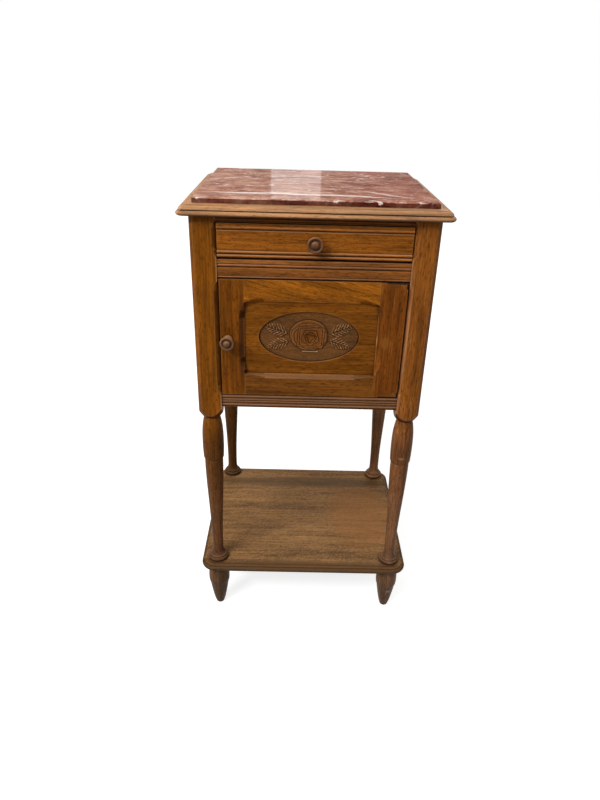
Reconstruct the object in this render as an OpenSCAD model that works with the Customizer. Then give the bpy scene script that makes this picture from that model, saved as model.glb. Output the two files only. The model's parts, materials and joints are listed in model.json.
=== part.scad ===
// Bedside pot cupboard: an oak case on four turned legs, with a loose marble slab,
// a dovetailed drawer, a panelled door on pivots and a low shelf.
// Millimetres, +Z up, front towards -Y, origin on the floor under the middle of the whole piece.

/* [Overall] */
// Height from the floor to the face of the marble
total_h = 830; // [690:1:1000]
// Width over the corner posts
case_w = 388; // [320:1:470]
// Depth over the corner posts
case_d = 345; // [285:1:420]
// Height of the shelf's top face above the floor
shelf_top = 122; // [100:1:150]

/* [Levels of the front] */
// Height of the rail above the drawer
upper_rail_h = 10; // [8:0.5:16]
// Height of the drawer's opening
drawer_open_h = 57.5; // [52:0.5:75]
// Height of the rail between drawer and door
mid_rail_h = 29.3; // [24:0.1:38]
// Height of the door's opening
door_open_h = 208.7; // [170:0.1:260]
// Height of the rail under the door
bottom_rail_h = 23; // [23:0.5:30]

/* [Posts and legs] */
// Side of the square posts
post_s = 41; // [38:0.5:50]
// Leg of the chamfer down each post's outer corner
outer_chamfer = 6; // [3:0.5:8]
// Leg of the stopped chamfers on the front posts' inner corners
stop_chamfer = 6.3; // [3:0.1:8]
// Distance from the case's underside to the neck of the turning
neck_drop = 27; // [25:0.5:45]
// Height of the turned shoulder that ends the square post
shoulder_h = 25; // [20:1:27]
// Radius of the neck under the square post
neck_r = 14.2; // [11:0.1:16]
// Largest radius of the vase below the neck
vase_r = 19.5; // [16:0.1:20.5]
// Height of the vase
vase_h = 86.5; // [60:0.5:110]
// Radius of the leg just below the vase
thigh_r = 17; // [14:0.1:18]
// Smallest radius of the leg
ankle_r = 10.4; // [9:0.1:14]
// Radius of the ring that stands on the shelf
ring_r = 19.8; // [16.5:0.1:21]
// Radius of the dowel that ties leg, shelf and foot
leg_dowel_r = 6; // [4:0.5:8]

/* [Feet] */
// Largest radius of the foot's collar
collar_r = 21; // [18:0.1:24]
// Height of the step below the collar, above the floor
foot_step = 58; // [40:1:70]
// Radius of the flat tip of the foot
tip_r = 4.5; // [3:0.1:7]

/* [Top and shelf] */
// Overhang of the top's nose past the posts, at the front and sides
top_over = 17; // [12:0.5:24]
// Overhang of the shelf's nose past the posts, at the front and sides
shelf_over = 12; // [8:0.5:20]
// Overhang of top and shelf past the posts at the back
back_over = 2; // [2:0.5:6]
// Thickness of the moulded frame round the slab
frame_t = 15.5; // [14:0.5:22]
// Width of the frame's rails, from nose to inner edge
frame_w = 50; // [46:1:60]
// Plan radius of the frame's front corners
frame_front_r = 12; // [12:0.5:18]
// Plan radius of the frame's back corners
frame_corner_r = 30; // [20:1:34]
// Thickness of the marble slab
slab_t = 16; // [14:0.5:22]
// Height of the marble above the frame
slab_proud = 8; // [5:0.5:10]
// Distance from the side noses to the marble
slab_side_margin = 22.2; // [17:0.1:26]
// Distance from the front nose to the marble
slab_front_margin = 27; // [20:0.5:30]
// Distance from the back edge to the marble
slab_back_margin = 4.5; // [3:0.5:10]
// Thickness of the shelf
shelf_t = 13; // [12:0.5:18]
// Plan radius of the shelf's corners
shelf_corner_r = 28; // [18:1:32]

/* [Door] */
// Width of the stile that carries the knob
knob_stile_w = 40; // [34:0.5:50]
// Width of the stile on the pivots
pivot_stile_w = 43; // [34:0.5:50]
// Height of the door's top rail
door_top_rail_h = 37.7; // [30:0.1:46]
// Height of the door's bottom rail
door_bottom_rail_h = 39; // [34:0.1:52]
// Depth of the panel's face behind the face of the door frame
panel_set = 8; // [7:0.5:9]
// Margin between the sunk oval and the stiles
oval_side_margin = 26.1; // [20:0.1:36]
// Margin between the sunk oval and the door's rails
oval_end_margin = 19.2; // [14:0.1:28]
// Depth of the sunk oval
oval_sink = 3.5; // [2:0.1:4.5]
// Diameter of the door's knob
door_knob_d = 24; // [20:0.5:30]

/* [Drawer] */
// Diameter of the drawer's knob
drawer_knob_d = 25.5; // [20:0.5:32]
// Reach of both knobs from the face they stand on
knob_reach = 23.2; // [20:0.1:30]
// Thickness of the drawer's sides
drawer_side_t = 10; // [8:0.5:13]
// Space above the drawer's sides
drawer_side_space = 3; // [2:0.5:8]
// Space behind the shut drawer
drawer_back_space = 11; // [5:1:40]

/* [Boards] */
// Thickness of the front, side and back rails and of the door frame
rail_t = 20; // [18:0.5:24]
// Depth of the rail between drawer and door, from front to back
divider_d = 40; // [34:1:50]
// Thickness of the framed side and door panels
panel_t = 8; // [6:0.5:9]
// Thickness of the back panel, dust board and drawer bottom
thin_t = 5; // [4:0.5:6]
// Thickness of the cupboard's floor
floor_t = 8; // [6:0.5:10]

/* [Fits] */
// Set-back of rails, drawer and door behind the posts' faces
face_set = 1.5; // [1:0.1:3]
// Clearance round tenons, dowels and dovetails
glue_gap = 0.1; // [0.05:0.05:0.2]
// Clearance between loose panels and the grooves that hold them
panel_gap = 0.2; // [0.1:0.05:0.5]
// Running gap between parts that slide or turn past each other
run_gap = 0.3; // [0.3:0.05:0.6]
// Gap each side of the drawer's front
drawer_gap = 1; // [0.8:0.1:2]
// Gap each side of the door
door_side_gap = 1.8; // [1.6:0.1:2.4]
// Gap above and below the door
door_end_gap = 2.2; // [1.5:0.1:3]
// Radial clearance of pivots and spindle
bore_gap = 0.06; // [0.03:0.01:0.09]

/* [Hidden] */
$fn = 64;
OAK = "peru";
DARK_OAK = "sienna";
PLAIN_OAK = "burlywood";

// planes from front to back
front_reach = case_d / 2 + max(top_over, knob_reach + run_gap - face_set);
y_mid = (front_reach - case_d / 2 - back_over) / 2;
post_front = y_mid - case_d / 2;
post_back = y_mid + case_d / 2;
face_y = post_front + face_set;
back_face_y = post_back - face_set;
back_y = post_back + back_over;
rail_mid_y = face_y + rail_t / 2;
rail_arris = 0.4;
back_mid_y = back_face_y - rail_t / 2;

// planes from side to side
open_w = case_w - 2 * post_s;
open_x = open_w / 2;
post_x = (case_w - post_s) / 2;
post_y = (case_d - post_s) / 2;
between_y = case_d / 2 - post_s;
side_rail_x = case_w / 2 - face_set - rail_t / 2;
nose_x = case_w / 2 + top_over;
nose_y = post_front - top_over;

// levels
slab_z = total_h - slab_t;
frame_top = total_h - slab_proud;
frame_under = frame_top - frame_t;
drawer_open_top = frame_under - upper_rail_h;
drawer_open_z = drawer_open_top - drawer_open_h;
door_open_top = drawer_open_z - mid_rail_h;
door_open_z = door_open_top - door_open_h;
case_z = door_open_z - bottom_rail_h;
neck_z = case_z - neck_drop;
shelf_z = shelf_top - shelf_t;

// joints
tenon_t = 8;
tenon_l = 22;
shoulder = 3;
haunch = 10;
groove_d = 8;
panel_in = groove_d - 1;
top_dowel_r = 5;
top_dowel_l = 5;
foot_tenon_l = 24;
side_rail_h = 40;
back_rail_h = 30;
back_panel_y = back_mid_y;

// slab and top frame
slab_x = nose_x - slab_side_margin;
slab_y0 = nose_y + slab_front_margin;
slab_y1 = back_y - slab_back_margin;
slab_arris = 1.2;
slab_gap = 0.5;
mitre_x = nose_x - frame_w;
mitre_y = nose_y + frame_w;
back_tongue_in = 12;
back_tongue_l = post_x - top_dowel_r - 1.5 - mitre_x;

// moulded edges: how far in the nose starts at the bottom, the level of its widest point, how
// far in it ends and its height; how far in the quirk lies and its height; how far in the lip
// over it lies and its height; how far in the round above ends; the height of the fillet on it
frame_mould = [5.5, 4, 5.4, 8, 5.4, 0.7, 4.2, 0.9, 11.2, 0.8];
shelf_mould = [3.5, 5, 5, 9.6, 6.2, 0.6, 5.4, 0.1, 10.8, 0.7];

// drawer
drawer_front_z = drawer_open_z + 2.5;
drawer_front_top = drawer_open_top - 1.5;
drawer_back_face = face_y + rail_t;
drawer_side_z = drawer_open_z + run_gap;
drawer_side_h = drawer_open_top - drawer_side_space - drawer_side_z;
drawer_side_x = open_x - drawer_gap - 0.5;
drawer_bottom_z = drawer_side_z + 7;
drawer_knob_z = (drawer_front_z + drawer_front_top) / 2;
drawer_back_t = 9;
tail_l = 13;
drawer_field = 1.4;
knob_dowel_r = 4;
knob_dowel_l = 14.5;

// runners and dust board
runner_w = 31;
runner_t = 18;
runner_x = open_x - runner_w;
divider_back = face_y + divider_d;
inner_rail_y = y_mid + between_y + 1;
inner_rail_d = 17;
drawer_end = inner_rail_y - drawer_back_space;
dust_z = drawer_open_z - 11;
upper_rail_d = 30;

// floor
floor_z = door_open_z - 1 - floor_t;
tongue_l = 7;

// door
door_w = open_w - 2 * door_side_gap;
door_x = door_w / 2;
door_z = door_open_z + door_end_gap;
door_top = door_open_top - door_end_gap;
door_back_y = face_y + rail_t;
sight_left = -door_x + knob_stile_w;
sight_right = door_x - pivot_stile_w;
sight_z = door_z + door_bottom_rail_h;
sight_top = door_top - door_top_rail_h;
panel_y = face_y + panel_set;
door_tenon_l = 24;
oval_a = (sight_right - sight_left) / 2 - oval_side_margin;
oval_b = (sight_top - sight_z) / 2 - oval_end_margin;
oval_x = (sight_left + sight_right) / 2 - 3;
oval_z = (sight_z + sight_top) / 2 + 2.5;

// pivots
pivot_x = door_x - 7;
pivot_y = face_y + 4.5;
pivot_r = 2;
pivot_plate_t = 2;
pivot_plate_l = 34;
pivot_plate_w = 11;
pivot_lip = 10;
pivot_pin_l = door_end_gap + 7;

// latch
latch_x = -door_x + 12.5;
latch_z = (door_z + door_top) / 2 - 1;
spindle_r = 3.2;
spindle_in = 13.5;
tongue_t = 3;
tongue_w = 9;
tongue_reach = open_x + latch_x - 0.8;
stop_w = 7;
stop_d = 10;
stop_y = door_back_y + run_gap;
tongue_y = stop_y + stop_d + run_gap;

// ---- helpers -----------------------------------------------------------------------

// points along an arc, from angle a0 to a1
function arc(x, y, r, a0, a1, n = 8) =
    [for (i = [0:n]) [x + r * cos(a0 + (a1 - a0) * i / n), y + r * sin(a0 + (a1 - a0) * i / n)]];

// the smooth step from 0 to 1 that a long taper follows
function ease(t) = t * t * (3 - 2 * t);

// a box between two corners, grown by g all round
module block(lo, hi, g = 0) {
    translate([for (i = [0:2]) lo[i] - g]) cube([for (i = [0:2]) hi[i] - lo[i] + 2 * g]);
}

// a [y, z] outline drawn along X
module along_x(x0, x1) {
    translate([x0, 0, 0]) rotate([90, 0, 90]) linear_extrude(x1 - x0) children();
}

// an [x, z] outline drawn along Y
module along_y(y0, y1) {
    translate([0, y1, 0]) rotate([90, 0, 0]) linear_extrude(y1 - y0) children();
}

// the child and its mirror image on the other side of the piece
module both_sides() {
    children();
    mirror([1, 0, 0]) children();
}

// right-hand parts are drawn, left-hand ones are mirrored
module on_side(side) {
    mirror([side < 0 ? 1 : 0, 0, 0]) children();
}

// a chamfer up the arris at x = 0, y = 0 of wood that lies towards +x and +y; its legs are
// leg_x and leg_y, and it runs out in a long curve of length run at both ends
module stopped_chamfer(h, leg_x, leg_y, run) {
    d = leg_x * leg_y / norm([leg_x, leg_y]);
    r = (run * run + d * d) / (2 * d);
    a = asin(run / r);
    rotate([0, 0, atan2(leg_x, leg_y)]) rotate([90, 0, 0])
        linear_extrude(2 * max(leg_x, leg_y), center = true) polygon(concat(
            [[-0.5, h], [-0.5, 0]],
            arc(d - r, run, r, -a, 0, 8),
            arc(d - r, h - run, r, 0, a, 8)
        ));
}

// points along a quarter of an ellipse with half axes a and b
function quarter(x, y, a, b, from, n = 6) =
    [for (i = [0:n]) [x + a * cos(from + 90 * i / n), y + b * sin(from + 90 * i / n)]];

// outline of a board's edge, widest at x = w: a nose, a quirk, and a quarter round under a
// fillet; m lists the moulding's sizes
function edge_outline(w, t, m) = let (lip_z = m[3] + m[5] + m[7]) concat(
    [[0, 0]],
    quarter(w - m[0], m[1], m[0], m[1], -90),
    quarter(w - m[2], m[1], m[2], m[3] - m[1], 0),
    [[w - m[4], m[3]], [w - m[4], m[3] + m[5]], [w - m[6], m[3] + m[5]]],
    quarter(w - m[8], lip_z, m[8] - m[6], t - m[9] - lip_z, 0),
    [[w - m[8] - 0.2, t - m[9]], [w - m[8] - 0.2, t], [0, t]]
);

// a row of beads [centre z, radius] down a front face at y, as part of a [y, z] outline;
// the beads' crests are flush with the face and a quirk sinks on both sides of each, or only
// below it where the bead has a third value
function beads(list, y, field, quirk) = [
    for (b = list)
        each concat(
            [[y + field, b[0] - b[1] - quirk], [y + b[1] + 0.2, b[0] - b[1]]],
            arc(y + b[1], b[0], b[1], 270, len(b) > 2 ? acos(field / b[1] - 1) : 90, 8),
            len(b) > 2 ? []
                : [[y + b[1] + 0.2, b[0] + b[1]], [y + field, b[0] + b[1] + quirk]]
        )
];

// ---- marble and its frame ----------------------------------------------------------

module marble_slab() {
    color("rosybrown") intersection() {
        along_x(-slab_x, slab_x) polygon([
            [slab_y0, slab_z], [slab_y0, total_h - slab_arris], [slab_y0 + slab_arris, total_h],
            [slab_y1 - slab_arris, total_h], [slab_y1, total_h - slab_arris], [slab_y1, slab_z]
        ]);
        along_y(slab_y0, slab_y1) polygon([
            [-slab_x, slab_z], [-slab_x, total_h - slab_arris], [-slab_x + slab_arris, total_h],
            [slab_x - slab_arris, total_h], [slab_x, total_h - slab_arris], [slab_x, slab_z]
        ]);
    }
}

module slab_rebate() {
    block([-slab_x, slab_y0, slab_z + slab_gap], [slab_x, slab_y1, total_h + 1], slab_gap);
}

module frame_edge(w) {
    polygon(edge_outline(w, frame_t, frame_mould));
}

// the moulding round the right front corner of the frame
module frame_front_corner() {
    translate([nose_x - frame_front_r, nose_y + frame_front_r, frame_under]) rotate([0, 0, -90])
        rotate_extrude(angle = 90) frame_edge(frame_front_r);
}

// plan of the front rail, between its two mitres
module mitre_plan() {
    translate([0, 0, frame_under - 1]) linear_extrude(frame_t + 2) polygon([
        [-nose_x - 1, nose_y - 1], [nose_x + 1, nose_y - 1],
        [mitre_x, mitre_y], [-mitre_x, mitre_y]
    ]);
}

// dowels that stand on the posts and locate the top frame
module top_dowels(g = 0) {
    both_sides() for (y = [-post_y, post_y])
        translate([post_x, y_mid + y, frame_under - 1])
            cylinder(r = top_dowel_r + g, h = 1 + top_dowel_l + g);
}

// tongues at the ends of the back rail, which stop short of the posts' dowels
module back_tongues(g = 0) {
    both_sides() block([mitre_x, back_y - frame_w + back_tongue_in, frame_under + 2],
        [mitre_x + back_tongue_l, back_y - back_tongue_in, frame_under + 5.5], g);
}

module top_rail_front() {
    color(OAK) difference() {
        intersection() {
            union() {
                translate([frame_front_r - nose_x, mitre_y, frame_under]) rotate([90, 0, 90])
                    linear_extrude(2 * (nose_x - frame_front_r)) mirror([1, 0, 0])
                        frame_edge(frame_w);
                both_sides() frame_front_corner();
            }
            mitre_plan();
        }
        slab_rebate();
        top_dowels(glue_gap);
    }
}

// right-hand rail, with the moulding carried round the back corner
module side_top_rail_blank() {
    cx = nose_x - frame_corner_r;
    cy = back_y - frame_corner_r;
    difference() {
        union() {
            translate([mitre_x, cy, frame_under]) rotate([90, 0, 0])
                linear_extrude(cy - nose_y - frame_front_r) frame_edge(frame_w);
            frame_front_corner();
            translate([cx, cy, frame_under]) rotate_extrude(angle = 90) frame_edge(frame_corner_r);
            translate([mitre_x, cy, frame_under]) rotate([90, 0, 90])
                linear_extrude(cx - mitre_x) frame_edge(frame_corner_r);
        }
        mitre_plan();
        slab_rebate();
        top_dowels(glue_gap);
        back_tongues(glue_gap);
    }
}

module top_rail_left() { color(OAK) on_side(-1) side_top_rail_blank(); }
module top_rail_right() { color(OAK) on_side(1) side_top_rail_blank(); }

module top_rail_back() {
    color(OAK) {
        difference() {
            translate([-mitre_x, back_y - frame_w, frame_under]) rotate([90, 0, 90])
                linear_extrude(2 * mitre_x) frame_edge(frame_w);
            slab_rebate();
        }
        back_tongues();
    }
}

// ---- posts with their turned legs --------------------------------------------------

// half outline [r, z] of the leg, from the shelf up to the neck
function leg_outline() = let (
    ring_h = 8.4,
    fillet_r = ring_r - 3.8,
    cove_r = ring_r - 5.2,
    cove_z = shelf_top + 11.4,
    ankle_z = shelf_top + 40,
    vase_z = neck_z - vase_h,
    step_z = vase_z - 3.2,
    quirk_r = thigh_r - 0.6,
    belly_z = neck_z - 0.66 * vase_h
) concat(
    [[0, shelf_top]],
    arc(ring_r - ring_h / 2, shelf_top + ring_h / 2, ring_h / 2, -90, 90, 10),
    [[fillet_r, shelf_top + ring_h], [fillet_r, cove_z - 0.4], [cove_r, cove_z]],
    [for (i = [1:8]) let (t = pow(i / 8, 1.5))
        [ankle_r + (cove_r - ankle_r) * pow(1 - t, 6), cove_z + (ankle_z - cove_z) * t]],
    [for (i = [1:10]) let (t = i / 10)
        [ankle_r + (thigh_r - ankle_r) * ease(t), ankle_z + (step_z - ankle_z) * t]],
    [[quirk_r, step_z + 0.3]],
    quarter(quirk_r, vase_z + 1, vase_r - 0.9 - quirk_r, vase_z - step_z, -90, 5),
    [for (i = [1:5]) let (t = i / 5)
        [vase_r - 0.9 * pow(1 - t, 2), vase_z + 1 + (belly_z - vase_z - 1) * t]],
    [for (i = [1:9]) let (t = i / 9)
        [vase_r - (vase_r - neck_r - 0.3) * pow(t, 3), belly_z + (neck_z - 1 - belly_z) * t]],
    [[neck_r - 0.7, neck_z], [neck_r - 0.7, neck_z + 4], [0, neck_z + 4]]
);

// the turned shoulder that rounds off the square's corners above the neck
function shoulder_outline() = concat(
    [[0, neck_z]],
    [for (i = [0:8]) let (t = i / 8)
        [neck_r + (post_s * sqrt(0.5) + 0.4 - neck_r) * pow(t, 0.75), neck_z + shoulder_h * t]],
    [[0, neck_z + shoulder_h]]
);

// square section of the post, at the right back corner of the case
module post_section() {
    s = post_s / 2;
    c = outer_chamfer;
    polygon([[-s, -s], [s, -s], [s, s - c], [s - c, s], [-s, s]]);
}

// post, leg and dowels at the right back corner; the plan is mirrored for the others
module post_blank() {
    top_z = neck_z + shoulder_h;
    translate([0, 0, top_z]) linear_extrude(frame_under - top_z) post_section();
    intersection() {
        translate([0, 0, neck_z]) linear_extrude(shoulder_h) post_section();
        rotate_extrude() polygon(shoulder_outline());
    }
    rotate_extrude() polygon(leg_outline());
    translate([0, 0, shelf_z - foot_tenon_l])
        cylinder(r = leg_dowel_r, h = shelf_t + foot_tenon_l + 1);
    translate([0, 0, frame_under - 1]) cylinder(r = top_dowel_r, h = 1 + top_dowel_l);
}

// grooves in the posts for the side panels and the back panel
module panel_grooves() {
    both_sides() {
        block([side_rail_x - panel_t / 2 - panel_gap, y_mid - between_y - groove_d, case_z + shoulder],
            [side_rail_x + panel_t / 2 + panel_gap, y_mid + between_y + groove_d,
             frame_under - shoulder]);
    }
    block([-open_x - groove_d, back_panel_y - thin_t / 2 - panel_gap, case_z + shoulder],
        [open_x + groove_d, back_panel_y + thin_t / 2 + panel_gap, frame_under - shoulder]);
}

// the stopped chamfers down the right front post's inner corner
module post_stopped_chamfers() {
    spans = [
        [drawer_open_z + 2, drawer_open_top + 6],
        [door_open_z + 2, door_open_top - 5]
    ];
    for (s = spans) translate([open_x, post_front, s[0]])
        stopped_chamfer(s[1] - s[0], stop_chamfer, stop_chamfer, 17);
}

// end is -1 for a front post and 1 for a back one
module post(side, end) {
    on_side(side) difference() {
        translate([post_x, y_mid + end * post_y, 0]) mirror([0, end < 0 ? 1 : 0, 0]) post_blank();
        front_tenons(glue_gap);
        back_tenons(glue_gap);
        side_tenons(glue_gap);
        panel_grooves();
        if (end < 0) post_stopped_chamfers();
    }
}

module post_front_left() { color(OAK) post(-1, -1); }
module post_front_right() { color(OAK) post(1, -1); }
module post_back_left() { color(DARK_OAK) post(-1, 1); }
module post_back_right() { color(DARK_OAK) post(1, 1); }

// ---- shelf and feet ----------------------------------------------------------------

module shelf_edge(w) {
    polygon(edge_outline(w, shelf_t, shelf_mould));
}

module leg_positions() {
    for (x = [-post_x, post_x], y = [-post_y, post_y]) translate([x, y_mid + y, 0]) children();
}

module shelf() {
    r = shelf_corner_r;
    hx = case_w / 2 + shelf_over - r;
    y0 = post_front - shelf_over + r;
    y1 = back_y - r;
    color(PLAIN_OAK) difference() {
        translate([0, 0, shelf_z]) union() {
            block([-hx, y0, 0], [hx, y1, shelf_t]);
            for (c = [[hx, y1, 0], [-hx, y1, 90], [-hx, y0, 180], [hx, y0, 270]])
                translate([c[0], c[1], 0]) rotate([0, 0, c[2]]) rotate_extrude(angle = 90) shelf_edge(r);
            for (s = [[hx, y0, 90, y1 - y0], [hx, y1, 180, 2 * hx], [-hx, y1, 270, y1 - y0],
                      [-hx, y0, 0, 2 * hx]])
                translate([s[0], s[1], 0]) rotate([0, 0, s[2]]) rotate([90, 0, 90])
                    linear_extrude(s[3]) mirror([1, 0, 0]) shelf_edge(r);
        }
        leg_positions() translate([0, 0, shelf_z - 1])
            cylinder(r = leg_dowel_r + glue_gap, h = shelf_t + 2);
    }
}

// half outline [r, z] of the turned foot
function foot_outline() = let (belly_z = foot_step + 0.28 * (shelf_z - foot_step)) concat(
    [[0, 0], [tip_r, 0]],
    arc(tip_r, 4, 4, -80, -15, 5),
    [for (i = [1:7]) let (t = i / 7)
        [tip_r + 4 + (collar_r - tip_r - 6.2) * pow(t, 0.75), 4 + (foot_step - 4) * t]],
    [[collar_r - 1, foot_step + 3]],
    [for (i = [1:4]) let (t = i / 4)
        [collar_r - pow(1 - t, 2), foot_step + 3 + (belly_z - foot_step - 3) * t]],
    [for (i = [1:4]) let (t = i / 4)
        [collar_r - 1.4 * pow(t, 1.3), belly_z + (shelf_z - belly_z) * t]],
    [[0, shelf_z]]
);

module foot(side, end) {
    translate([side * post_x, y_mid + end * post_y, 0]) difference() {
        rotate_extrude() polygon(foot_outline());
        translate([0, 0, shelf_z - foot_tenon_l - 1])
            cylinder(r = leg_dowel_r + glue_gap, h = foot_tenon_l + 2);
    }
}

module foot_front_left() { color(DARK_OAK) foot(-1, -1); }
module foot_front_right() { color(DARK_OAK) foot(1, -1); }
module foot_back_left() { color(DARK_OAK) foot(-1, 1); }
module foot_back_right() { color(DARK_OAK) foot(1, 1); }

// ---- rails of the front ------------------------------------------------------------

// tenons at both ends of a rail that runs along X, centred on y
module cross_tenons(y, z0, z1, g = 0, t = tenon_t, l = tenon_l) {
    both_sides() block([open_x, y - t / 2, z0], [open_x + l, y + t / 2, z1], g);
}

module front_tenons(g = 0) {
    cross_tenons(rail_mid_y, drawer_open_top + 2, frame_under - 2, g);
    cross_tenons(rail_mid_y, door_open_top + shoulder, drawer_open_z - shoulder, g);
    cross_tenons(rail_mid_y, case_z + shoulder, door_open_z - shoulder, g);
}

// the stretch of a set of tenons that belongs to one rail
module own_tenons(z0, z1) {
    intersection() {
        children();
        block([-case_w / 2, post_front, z0], [case_w / 2, post_back, z1]);
    }
}

// a rail of the front, with its row of beads and its arrises taken off; the lower arris can
// be a bead of radius foot_r
module moulded_rail(z0, z1, depth, bead_list, field, quirk, foot_r = 0) {
    along_x(-open_x, open_x) polygon(concat(
        [[face_y + depth, z0]],
        foot_r > 0
            ? concat(arc(face_y + foot_r, z0 + foot_r, foot_r, 270, 90, 8),
                [[face_y + foot_r + 0.2, z0 + 2 * foot_r],
                 [face_y + field, z0 + 2 * foot_r + quirk]])
            : [[face_y + field + rail_arris, z0], [face_y + field, z0 + rail_arris]],
        beads(bead_list, face_y, field, quirk),
        [[face_y + field, z1 - rail_arris], [face_y + field + rail_arris, z1],
         [face_y + depth, z1]]
    ));
}

module kicker_tongues(g = 0) {
    z = drawer_open_top + upper_rail_h / 2;
    both_sides() for (y = [face_y + upper_rail_d - 8, back_face_y - rail_t - 1])
        block([runner_x + 6, y, z - 2.5], [open_x - 6, y + 9, z + 2.5], g);
}

module upper_front_rail() {
    color(DARK_OAK) {
        difference() {
            moulded_rail(drawer_open_top, frame_under, upper_rail_d,
                [[drawer_open_top + 3.6, 2]], 1.2, 0.6);
            kicker_tongues(glue_gap);
        }
        own_tenons(drawer_open_top, frame_under) front_tenons();
    }
}

module runner_tongues(g = 0) {
    both_sides() for (y = [divider_back - 8, inner_rail_y - 1])
        block([runner_x + 6, y, drawer_open_z - runner_t + 4],
            [open_x - 6, y + 9, drawer_open_z - 4], g);
}

// the groove all round that holds the dust board
module dust_groove() {
    block([-runner_x - groove_d, divider_back - groove_d, dust_z - panel_gap],
        [runner_x + groove_d, inner_rail_y + groove_d, dust_z + thin_t + panel_gap]);
}

module middle_front_rail() {
    color(DARK_OAK) {
        difference() {
            moulded_rail(door_open_top, drawer_open_z, divider_d,
                [[door_open_top + 20, 2.9]], 0, 0.5, 1.7);
            runner_tongues(glue_gap);
            dust_groove();
            case_plates(glue_gap);
        }
        own_tenons(door_open_top, drawer_open_z) front_tenons();
    }
}

module bottom_front_rail() {
    z = case_z;
    color(DARK_OAK) {
        difference() {
            moulded_rail(case_z, door_open_z, rail_t,
                [[z + 4.1, 3.3], [z + 10.8, 1.6], [z + 14.6, 1.6], [z + 19.9, 2.4, 1]], 1,
                0.25);
            floor_groove();
            case_plates(glue_gap);
        }
        own_tenons(case_z, door_open_z) front_tenons();
    }
}

// ---- sides and back ----------------------------------------------------------------

module side_tenons(g = 0) {
    both_sides() for (z = [[case_z + shoulder, case_z + side_rail_h - haunch],
                           [frame_under - side_rail_h + haunch, frame_under - shoulder]])
        for (y = [y_mid - between_y - tenon_l, y_mid + between_y])
            block([side_rail_x - tenon_t / 2, y, z[0]],
                [side_rail_x + tenon_t / 2, y + tenon_l, z[1]], g);
}

module side_panel_space(g) {
    block([side_rail_x - panel_t / 2, y_mid - between_y - panel_in,
           case_z + side_rail_h - panel_in],
        [side_rail_x + panel_t / 2, y_mid + between_y + panel_in,
         frame_under - side_rail_h + panel_in], g);
}

module side_rail(z0) {
    difference() {
        union() {
            block([side_rail_x - rail_t / 2, y_mid - between_y, z0],
                [side_rail_x + rail_t / 2, y_mid + between_y, z0 + side_rail_h]);
            intersection() {
                side_tenons();
                block([0, post_front, z0], [case_w, post_back, z0 + side_rail_h]);
            }
        }
        side_panel_space(panel_gap);
        floor_groove();
    }
}

module side_top_rail_left() { color(OAK) on_side(-1) side_rail(frame_under - side_rail_h); }
module side_top_rail_right() { color(OAK) on_side(1) side_rail(frame_under - side_rail_h); }
module side_bottom_rail_left() { color(OAK) on_side(-1) side_rail(case_z); }
module side_bottom_rail_right() { color(OAK) on_side(1) side_rail(case_z); }
module side_panel_left() { color(PLAIN_OAK) on_side(-1) side_panel_space(0); }
module side_panel_right() { color(PLAIN_OAK) on_side(1) side_panel_space(0); }

module back_tenons(g = 0) {
    cross_tenons(back_mid_y, case_z + shoulder, case_z + back_rail_h - haunch, g);
    cross_tenons(back_mid_y, frame_under - back_rail_h + haunch, frame_under - shoulder, g);
    cross_tenons(inner_rail_y + inner_rail_d / 2, door_open_top + 8, drawer_open_z - 6, g, 7, 12);
}

module back_panel_space(g) {
    block([-open_x - panel_in, back_panel_y - thin_t / 2, case_z + back_rail_h - panel_in],
        [open_x + panel_in, back_panel_y + thin_t / 2, frame_under - back_rail_h + panel_in], g);
}

module back_rail(z0) {
    difference() {
        union() {
            block([-open_x, back_face_y - rail_t, z0], [open_x, back_face_y, z0 + back_rail_h]);
            intersection() {
                back_tenons();
                block([-case_w, back_face_y - rail_t, z0], [case_w, post_back, z0 + back_rail_h]);
            }
        }
        back_panel_space(panel_gap);
        floor_groove();
        kicker_tongues(glue_gap);
    }
}

module back_top_rail() { color(PLAIN_OAK) back_rail(frame_under - back_rail_h); }
module back_bottom_rail() { color(PLAIN_OAK) back_rail(case_z); }
module back_panel() { color(PLAIN_OAK) back_panel_space(0); }

// rail inside the back, level with the divider, that carries the runners and dust board
module back_middle_rail() {
    color(PLAIN_OAK) difference() {
        union() {
            block([-open_x, inner_rail_y, door_open_top + 4],
                [open_x, inner_rail_y + inner_rail_d, drawer_open_z]);
            intersection() {
                back_tenons();
                block([-case_w, inner_rail_y, door_open_top], [case_w, inner_rail_y + inner_rail_d,
                    drawer_open_z]);
            }
        }
        runner_tongues(glue_gap);
        dust_groove();
    }
}

// ---- inside the case ---------------------------------------------------------------

// floor board, notched round the posts and held in grooves on all four sides
module floor_space(g = 0) {
    n = g > 0 ? 0 : run_gap;
    union() {
        block([-open_x + n, face_y + rail_t - tongue_l, floor_z],
            [open_x - n, back_face_y - rail_t + tongue_l, floor_z + floor_t], g);
        block([-side_rail_x + rail_t / 2 - tongue_l, y_mid - between_y + n, floor_z],
            [side_rail_x - rail_t / 2 + tongue_l, y_mid + between_y - n, floor_z + floor_t], g);
    }
}

module floor_groove() { floor_space(panel_gap); }
module cupboard_floor() { color(PLAIN_OAK) floor_space(); }

module dust_board() {
    color(PLAIN_OAK) block(
        [-runner_x - panel_in, divider_back - panel_in, dust_z],
        [runner_x + panel_in, inner_rail_y + panel_in, dust_z + thin_t]);
}

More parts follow.
